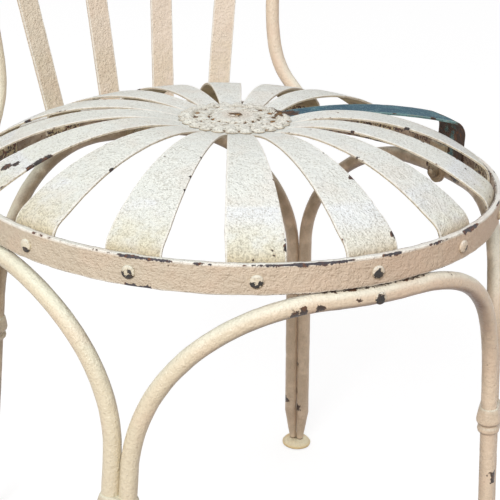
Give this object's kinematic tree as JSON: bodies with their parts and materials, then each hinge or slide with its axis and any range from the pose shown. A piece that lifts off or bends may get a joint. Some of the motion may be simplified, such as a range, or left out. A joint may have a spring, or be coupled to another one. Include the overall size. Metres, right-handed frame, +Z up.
{
  "type": "metal bistro chair",
  "caption": "Metal garden chair with a domed sprung seat of flat strips in a round hoop, arched tube legs with collars, and a looped tube back with flat splats.",
  "frame": {"origin": "on the floor under the middle of the whole chair, its bounding box's bottom centre", "axes": "+Z up, -Y out of the chair's front, +X to the right as seen from the front"},
  "size_m": [0.4452, 0.5408, 0.8775],
  "materials": {
    "ivory_paint": "old brushed ivory paint, chipped to dark metal",
    "old_teal_paint": "older teal paint, bare and rusty at its edges"
  },
  "bodies": {
    "root": {"arch_bolts": "ivory_paint", "arch_nuts": "ivory_paint", "back_hoop": "ivory_paint", "back_hoop_rivets": "ivory_paint", "back_splat_1": "ivory_paint", "back_splat_2": "ivory_paint", "back_splat_3": "ivory_paint", "back_splat_4": "ivory_paint", "centre_rivet": "ivory_paint", "collar_front_left": "ivory_paint", "collar_front_right": "ivory_paint", "collar_rear_left": "ivory_paint", "collar_rear_right": "ivory_paint", "foot_front_left": "ivory_paint", "foot_front_right": "ivory_paint", "foot_rear_left": "ivory_paint", "foot_rear_right": "ivory_paint", "front_arch": "ivory_paint", "front_arch_lug": "ivory_paint", "left_arch": "ivory_paint", "left_arch_lug": "ivory_paint", "rear_arch": "ivory_paint", "rear_arch_lug": "ivory_paint", "right_arch": "ivory_paint", "right_arch_lug": "ivory_paint", "rosette": "ivory_paint", "rosette_backing": "ivory_paint", "rosette_rivets": "ivory_paint", "seat_hoop": "ivory_paint", "seat_rivets": "ivory_paint", "seat_strip_01": "ivory_paint", "seat_strip_02": "ivory_paint", "seat_strip_03": "ivory_paint", "seat_strip_04": "ivory_paint", "seat_strip_05": "old_teal_paint", "seat_strip_06": "ivory_paint", "seat_strip_07": "ivory_paint", "seat_strip_08": "ivory_paint", "seat_strip_09": "ivory_paint", "seat_strip_10": "ivory_paint", "seat_strip_11": "ivory_paint", "seat_strip_12": "ivory_paint", "seat_strip_13": "ivory_paint", "seat_strip_14": "ivory_paint", "seat_strip_15": "ivory_paint", "seat_strip_16": "ivory_paint", "splat_foot_rivets": "ivory_paint", "splat_top_rivets": "ivory_paint"}
  },
  "joints": []
}
